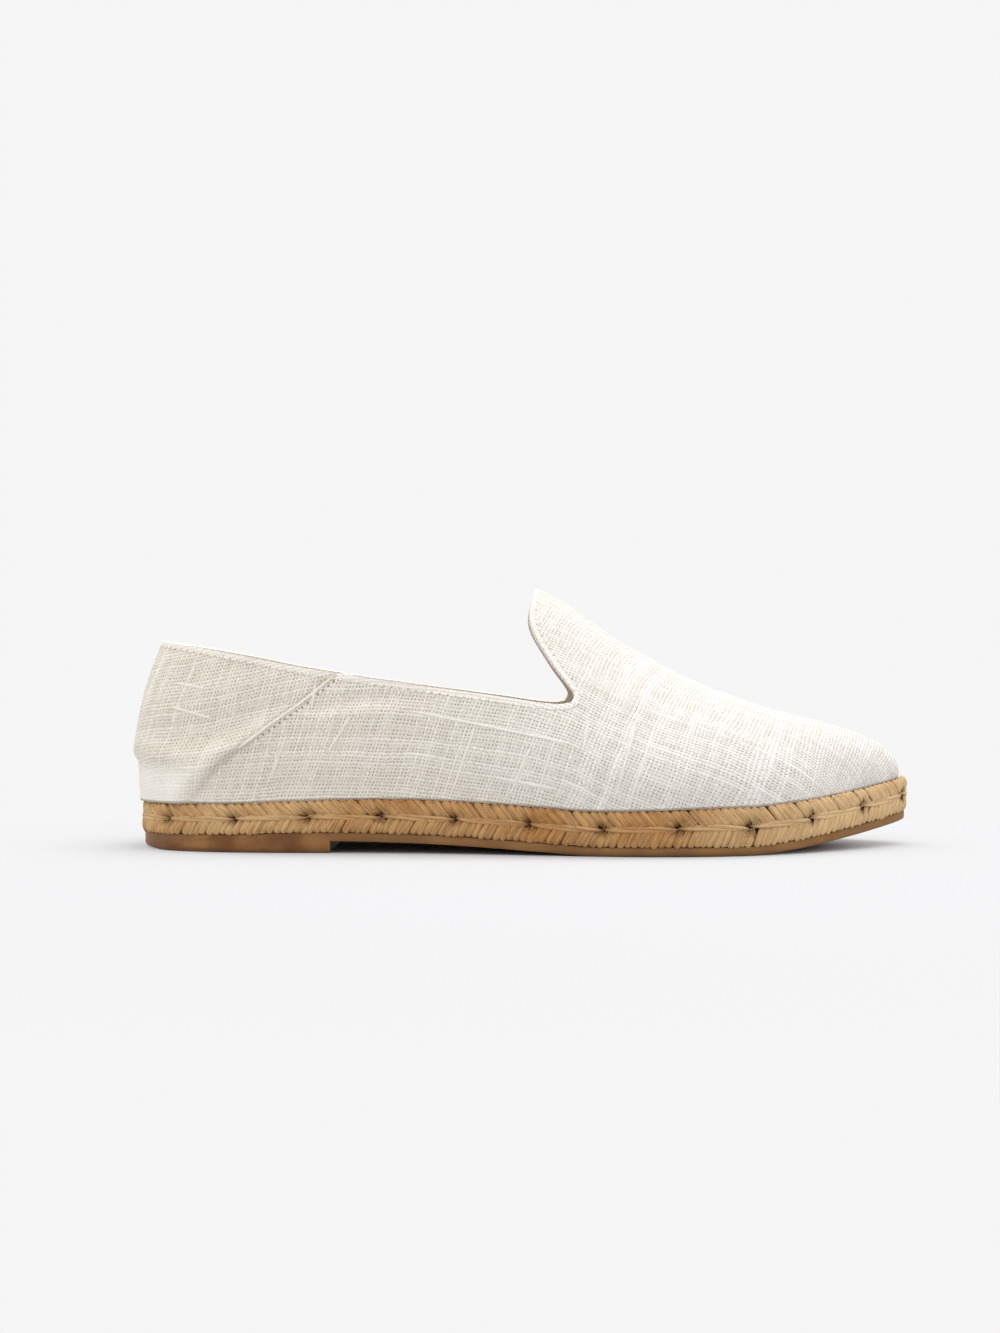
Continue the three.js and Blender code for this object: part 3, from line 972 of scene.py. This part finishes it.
def cloth_lift(x, y, z):
    """How far the cloth stands off its smooth form, in millimetres. The quarter laps over the heel
    panel at the seam, a groove runs beside it, and the foot is puckered where it is gathered."""
    lift = 0.0
    if x < FOLD_END:
        for line, below, above in FOLDS:
            away, _, proud = beside(x, z, line)
            side = 1.0 if y < 0 else 0.8
            lift += side * proud * math.exp(-(away / (below if away > 0 else above)) ** 2)
        off_seam, walked = beside(x, z, HEEL_SEAM)[:2]
        lap = 0.55 * max(0.0, 1 - walked / 44)
        lift += lap * math.exp(-max(off_seam, 0) / 6) * (0.5 + 0.5 * math.tanh(off_seam / 0.4))
        groove = 0.45 * max(0.5, 1 - walked / 62)
        lift -= groove * math.exp(-((off_seam + 1.1) / 1.1) ** 2)
    ease = 0.55 * noise.noise(Vector((x / 26, y / 26, z / 18 + 3)))
    ripple = 0.16 * noise.noise(Vector((x / 7, y / 9, z / 9 + 11)))
    gather = 0.3 * math.exp(-above_jute(x, z) / 3.5)
    return lift + ease + ripple + gather * noise.noise(Vector((x / 2.6, y / 2.6, 5)))


LENGTH_STEPS = 72
GRAIN_LEAN = 0.33
REAR_STATION = 100
RISES = [1 - k / LENGTH_STEPS for k in range(LENGTH_STEPS + 1)]

# For each side and angle, the cloth's length down a section from the ridge, at even rises.
SECTION_LENGTHS = {
    (side, i): running_lengths([upper_point(side, math.pi * i / LENGTH_STEPS, rise) for rise in RISES])
    for side in (LATERAL, MEDIAL) for i in range(LENGTH_STEPS + 1)
}


def down_from_ridge(side, angle, rise):
    """Cloth length from the ridge down to a point of a section."""
    i = min(angle / math.pi * LENGTH_STEPS, LENGTH_STEPS - 1e-6)
    k = min((1 - rise) * LENGTH_STEPS, LENGTH_STEPS - 1e-6)
    i0, k0 = int(i), int(k)
    near, far = (mix(*SECTION_LENGTHS[side, at][k0:k0 + 2], k - k0) for at in (i0, i0 + 1))
    return mix(near, far, i - i0)


FROM_BACK = {LATERAL: OUTLINE_LENGTHS, MEDIAL: [GIRTH - s for s in OUTLINE_LENGTHS[::-1]]}


def from_heel_back(side, angle):
    """Length round the outline from the back of the heel."""
    at = angle / math.pi * OUTLINE_STEPS
    i = min(int(at), OUTLINE_STEPS - 1)
    return mix(*FROM_BACK[side][i:i + 2], at - i)


def cloth_place(side, angle, rise, panel):
    """Where a point of the upper lies on the flat cloth, in millimetres. The heel panel's grain follows
    the collar, and the vamp's runs along the middle and fans down round the toe."""
    down = down_from_ridge(side, angle, rise)
    station = station_at(angle)
    if panel:
        round_heel = side * from_heel_back(side, angle)
        return round_heel + side * 0.3 * down + 371, down + abs(round_heel) * 0.17 + 213
    spine, edge = outline_point(side, angle, 0)
    if station > REAR_STATION:
        out = (edge - spine).normalized()
        along_cloth, across_cloth = spine.x + out.x * down, out.y * down
    else:
        rear = from_heel_back(side, angle_at(REAR_STATION)) - from_heel_back(side, angle)
        along_cloth, across_cloth = REAR_STATION - rear, side * down
    lean = GRAIN_LEAN * (1 - 0.7 * min(max((station - 190) / 60, 0), 1))
    return along_cloth + lean * abs(across_cloth), across_cloth


def collar_line():
    """The collar and the vamp's cut edge, from the back of the heel round the instep and back to the
    heel on the inner side, as evenly spaced points."""
    tops = [(top, rise) for low, top, rise in upper_columns()[:QUARTER_COLUMNS + EDGE_COLUMNS + 1]]
    outer, inner = ([upper_point(side, *top) for top in tops] for side in (LATERAL, MEDIAL))
    return [Vector(p) for p in walk(outer + inner[-2::-1], COLLAR_STEPS)]


def linen_shell():
    """The upper's outside, as a grid of columns round the foot and rows up the wall. Its UV maps are
    the cloth's own place, and the place along and beside the collar and the heel seam."""
    shell = bmesh.new()
    angle_of, rise_of, side_of, above_foot = (
        shell.verts.layers.float.new(name) for name in ("angle", "rise", "side", "above_foot")
    )
    columns = upper_columns()
    last = len(columns) - 1
    bmesh.ops.create_grid(shell, x_segments=2 * last, y_segments=WALL_ROWS, size=1)
    for v in shell.verts:
        column = round((v.co.x + 1) * last)
        part = round((v.co.y + 1) / 2 * WALL_ROWS) / WALL_ROWS
        side = LATERAL if column <= last else MEDIAL
        low, top, top_rise = columns[min(column, 2 * last - column)]
        v[angle_of] = mix(low, top, part ** COLUMN_LEAN)
        v[rise_of] = top_rise * part
        v[side_of] = side
        v.co = upper_point(side, v[angle_of], v[rise_of])
    bmesh.ops.remove_doubles(shell, verts=shell.verts, dist=MERGE)
    shell.normal_update()
    if max(shell.verts, key=lambda v: -v.co.y).normal.y > 0:
        bmesh.ops.reverse_faces(shell, faces=shell.faces)
        shell.normal_update()
    for v, lift in [(v, cloth_lift(*v.co)) for v in shell.verts]:
        v.co += v.normal * lift
    collar = collar_line()
    lengths = running_lengths(collar)
    tree = kdtree.KDTree(len(collar))
    for i, point in enumerate(collar):
        tree.insert(point, i)
    tree.balance()
    places = {}
    for v in shell.verts:
        v[above_foot] = above_jute(v.co.x, v.co.z) - SEAT_GAP
        _, index, away = tree.find(v.co)
        off_seam, walked = beside(v.co.x, v.co.z, HEEL_SEAM)[:2]
        places[v] = (lengths[index] * MM, away * MM), (walked * MM, off_seam * MM)
    cloth, hem, seam = (shell.loops.layers.uv.new(name) for name in ("cloth", "hem", "seam"))
    for face in shell.faces:
        middle = face.calc_center_median()
        side = LATERAL if sum(v[side_of] for v in face.verts) < 0 else MEDIAL
        panel = middle.x < PANEL_END and beside(middle.x, middle.z, HEEL_SEAM)[0] < 0
        for loop in face.loops:
            v = loop.vert
            loop[cloth].uv = Vector(cloth_place(side, v[angle_of], v[rise_of], panel)) * MM
            loop[hem].uv, loop[seam].uv = places[v]
    return shell


LINEN_LIGHT = (0.83, 0.8, 0.76, 1)
LINEN_DARK = (0.71, 0.675, 0.62, 1)
LINEN_SLUB = (0.9, 0.87, 0.81, 1)
# The colour of the weave's open gaps, also used for painted shade along the heel seam.
LINEN_GAP_AND_SEAM_SHADE = (0.3, 0.25, 0.18, 1)
# Painted warm shade, multiplied in more strongly towards the heel.
LINEN_HEEL_SHADE = (0.975, 0.95, 0.875, 1)
LINING_LIGHT = (0.9, 0.85, 0.81, 1)
LINING_DARK = (0.85, 0.77, 0.72, 1)
NEEDLE_HOLE = (0.2, 0.15, 0.11, 1)
FOOT_SHADE = (0.2, 0.13, 0.09, 1)
PANEL_END = 70
HEM_PITCH, HEM_DEPTH = 2.7, 1.9
SEAM_PITCH, SEAM_DEPTH = 2.2, 1.5


def painted_heel_light(tree, colour):
    """A linen colour, with painted warm shade towards the heel and painted light low on its back."""
    x, _, z = split(put(tree, "ShaderNodeTexCoord").outputs["Object"])
    # Painted pale light low on the back of the heel, and painted warm shade towards the heel.
    low_heel_light = times(ramp(x, -0.118, -0.095, 1, 0), ramp(z, 0.024, 0.032, 1, 0))
    heel_shade_tint = ramp(x, -0.12, 0.06, 1, 0)
    return coat(colour, (heel_shade_tint, LINEN_HEEL_SHADE, "MULTIPLY"), (times(low_heel_light, 0.75), LINEN_SLUB))


def needle_holes(along_edge, below, pitch, depth):
    """A mask of round holes, a pitch apart along an edge and at a depth below it, in millimetres."""
    step = calc("SUBTRACT", calc("FRACT", calc("DIVIDE", along_edge, pitch * MM)), 0.5)
    spot = derive("ShaderNodeCombineXYZ", {
        0: times(step, pitch * MM), 1: calc("SUBTRACT", below, depth * MM),
    })
    return ramp(vector("LENGTH", spot, output=1), 0.15 * MM, 0.5 * MM, 1, 0)


def linen_material():
    """Slub linen in natural white: open plain weave, a turned hem, rows of needle holes, and painted
    shade along the heel seam.
    """
    material, tree = blank_material("slub_linen")
    weave = woven(tree, 1.15 * MM, 0.75)
    along_hem, below, _ = split(uv_map(tree, "hem"))
    along_seam, off_seam, _ = split(uv_map(tree, "seam"))
    upper_seam = ramp(along_seam, 26 * MM, 40 * MM, 1, 0)
    seam_holes = times(needle_holes(along_seam, off_seam, SEAM_PITCH, SEAM_DEPTH), upper_seam)
    hem_holes = times(needle_holes(along_hem, below, HEM_PITCH, HEM_DEPTH), 0.5)
    holes = calc("MAXIMUM", hem_holes, seam_holes)
    seam_shade = ramp(calc("ABSOLUTE", off_seam), 0.4 * MM, 1.8 * MM, 0.45, 0)
    cloth = coat(
        LINEN_DARK,
        (ramp(weave["Tone"], 0.15, 0.85), LINEN_LIGHT),
        (times(weave["Slub"], 0.48), LINEN_SLUB),
        (times(weave["Hole"], ramp(below, 0.6 * MM, 1.6 * MM, 0.3, 0.9)), LINEN_GAP_AND_SEAM_SHADE),
    )
    colour = coat(
        painted_heel_light(tree, cloth),
        (ramp(below, 1.1 * MM, 2 * MM, 0.5, 0), LINEN_SLUB),
        (ramp(attribute(tree, "above_foot"), 0.3, 1.1, 0.7, 0), FOOT_SHADE),
        # Painted shade along the heel seam.
        (times(seam_shade, ramp(along_seam, 26 * MM, 60 * MM, 1, 0.5)), LINEN_GAP_AND_SEAM_SHADE),
        (times(holes, 0.75), NEEDLE_HOLE),
    )
    height = calc("SUBTRACT", weave["Height"], times(holes, 1.4))
    sheen = {"Sheen Weight": 0.15, "Sheen Roughness": 0.6}
    return give_surface(material, colour, 0.9, 0.2, (height, 0.8, 0.4 * MM), **sheen)


shell = linen_shell()
DRAPE = BVHTree.FromBMesh(shell)
lining = cotton_material("lining_cotton", LINING_LIGHT, LINING_DARK, 0.7 * MM)
upper = finish_piece(shell, "upper_linen", [linen_material(), lining], "upper", smooth=180)

wall = upper.modifiers.new("wall", "SOLIDIFY")
wall.thickness = UPPER_WALL * MM
wall.offset = -1
wall.material_offset = 1
rounding = upper.modifiers.new("rounding", "BEVEL")
rounding.width = 0.6 * MM
rounding.segments = 3
rounding.limit_method = "ANGLE"
rounding.angle_limit = math.radians(60)


# What is on the linen: thick slubs in its yarns, the quarter's turned edge along the heel seam, and
# the sewing thread of the collar. All of it is linen or linen thread.

SEAM_EDGE_WIDTH = 0.6
SEAM_EDGE_DEPTH = 0.25
STITCH_RADIUS = 0.2
STITCH_SHARE = 0.72
INNER_SLUBS = 13
SLUBS = [
    ((113, 39.8), (106, 20)), ((131.3, 35), (124.6, 19)), ((139, 37), (133, 18)),
    ((166, 44.8), (157.8, 17.6)), ((172, 43), (162.6, 17)), ((73, 44.8), (65.6, 33)),
    ((52, 38.6), (47, 25)), ((61.6, 57), (60, 47)), ((92, 46.5), (120.5, 41), (145, 36)),
    ((120.5, 25), (139.5, 21.5)), ((14.5, 55.5), (25, 53.6)), ((12.6, 47.8), (27, 43.8)),
    ((150, 43.5), (148, 33)), ((206, 35), (201, 22)),
]


def on_cloth(side, x, z):
    """(point, outward direction) on the draped cloth, seen square from one side."""
    point, outward = DRAPE.ray_cast(Vector((x, side * 200, z)), Vector((0, -side, 0)))[:2]
    return (point, outward) if point else None


def spaced(points, pitch):
    """Points about a pitch apart along a smooth line through the given ones."""
    length = sum(math.dist(start, end) for start, end in zip(points, points[1:]))
    return walk(points, max(2, round(length / pitch)))


def lay_thread(mesh, places, half_width, half_depth, sink, lengthwise, number):
    """Lays a strand along (point, outward direction) places on the cloth."""

    def line(a):
        at = min((a + 1) / 2 * (len(places) - 1), len(places) - 1.0001)
        low, part = int(at), at - int(at)
        outward = places[low][1].lerp(places[low + 1][1], part)
        return places[low][0].lerp(places[low + 1][0], part) - outward * sink, outward, 0.0

    lay_strand(mesh, 6, lengthwise, line, half_width, half_depth, number)


def slub_mesh(dice):
    """The listed slubs of the outer side, and like ones scattered over the inner side."""
    mesh = strand_mesh()
    routes = [(LATERAL, line) for line in SLUBS]
    for _ in range(INNER_SLUBS):
        x, z = dice.uniform(20, 215), dice.uniform(19, 36)
        if dice.random() < 0.6:
            climb = dice.uniform(9, 18)
            routes.append((MEDIAL, ((x + climb * 0.35, z + climb), (x, z))))
        else:
            routes.append((MEDIAL, ((x, z + 3), (x + dice.uniform(12, 30), z))))
    for number, (side, line) in enumerate(routes):
        places = [on_cloth(side, *point) for point in spaced(line, 1.0)]
        if all(places):
            lay_thread(mesh, places, dice.uniform(0.4, 0.6), 0.16, 0.05, 26, number)
    return mesh


def seam_edges():
    """The turned edge of each quarter, lapped over the heel panel down to the fold."""
    mesh = strand_mesh()
    for number, side in enumerate((LATERAL, MEDIAL)):
        places = [on_cloth(side, *point) for point in spaced(HEEL_SEAM[:4], 0.8)]
        lay_thread(mesh, [p for p in places if p], SEAM_EDGE_WIDTH, SEAM_EDGE_DEPTH, 0.05, 60, number)
    return mesh


def sewing():
    """The collar's row of stitches, a little below the edge."""
    mesh = strand_mesh()
    line = collar_line()
    row = []
    for before, point, after in zip(line, line[1:], line[2:]):
        outward = DRAPE.find_nearest(point)[1]
        down = (after - before).normalized().cross(outward)
        if down.z > 0.3:
            down.negate()
        row.append(DRAPE.find_nearest(point + down.normalized() * HEM_DEPTH)[:2])
    length = running_lengths([point for point, outward in row])[-1]
    per_stitch = max(2, round(len(row) * HEM_PITCH / length))
    starts = range(0, len(row) - per_stitch, per_stitch)
    for number, start in enumerate(starts, 1):
        places = row[start:start + round(per_stitch * STITCH_SHARE) + 1]
        lay_thread(mesh, places, STITCH_RADIUS, STITCH_RADIUS, -0.02, 5, number)
    return mesh


def yarn_material():
    """Linen yarn seen close, with fine fibres along it, and the linen's painted heel light and shade."""
    material, tree = blank_material("slub_yarn")
    fibre = noise_at(scaled(uv_map(tree, "strand"), 400, 4200, 1), 1, 3)
    colour = painted_heel_light(tree, coat(LINEN_DARK, (ramp(fibre, 0.35, 0.6), LINEN_LIGHT)))
    return give_surface(material, colour, 0.9, 0.2, (fibre, 0.5, 0.2 * MM))


slub_yarn = yarn_material()
finish_strands(slub_mesh(random.Random(23)), "linen_slubs", slub_yarn, None)
finish_strands(seam_edges(), "heel_seam_edges", slub_yarn, None)
finish_strands(sewing(), "collar_stitches", slub_yarn, None)
